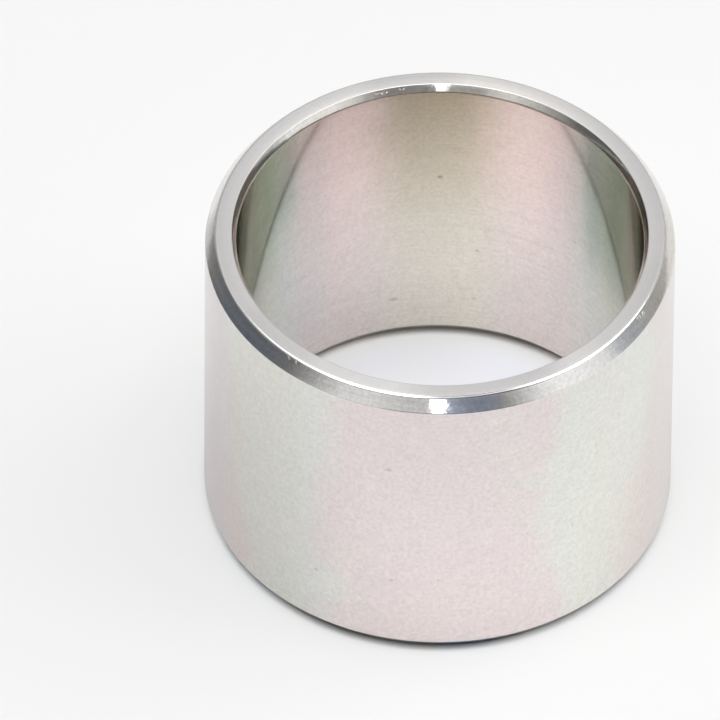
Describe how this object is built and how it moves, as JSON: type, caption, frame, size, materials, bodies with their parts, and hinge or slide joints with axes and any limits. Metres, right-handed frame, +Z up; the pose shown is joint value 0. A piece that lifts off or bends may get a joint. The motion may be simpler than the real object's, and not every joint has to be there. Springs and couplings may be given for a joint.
{
  "type": "spacer sleeve",
  "caption": "Short plain steel spacer sleeve with a through bore, flat end faces, outer lead-in chamfers and chamfered bore mouths.",
  "frame": {"origin": "centre of the lower end face, on the bore's axis, where the sleeve stands", "axes": "+Z up along the bore's axis, towards the upper end face; the sleeve is round, so X and Y are free"},
  "size_m": [0.03, 0.03, 0.023],
  "materials": {
    "zinc_plated_steel": "clear zinc plate with a faint pink and green tint, satin walls, bright turned chamfers"
  },
  "bodies": {
    "root": {"spacer_sleeve": "zinc_plated_steel"}
  },
  "joints": []
}
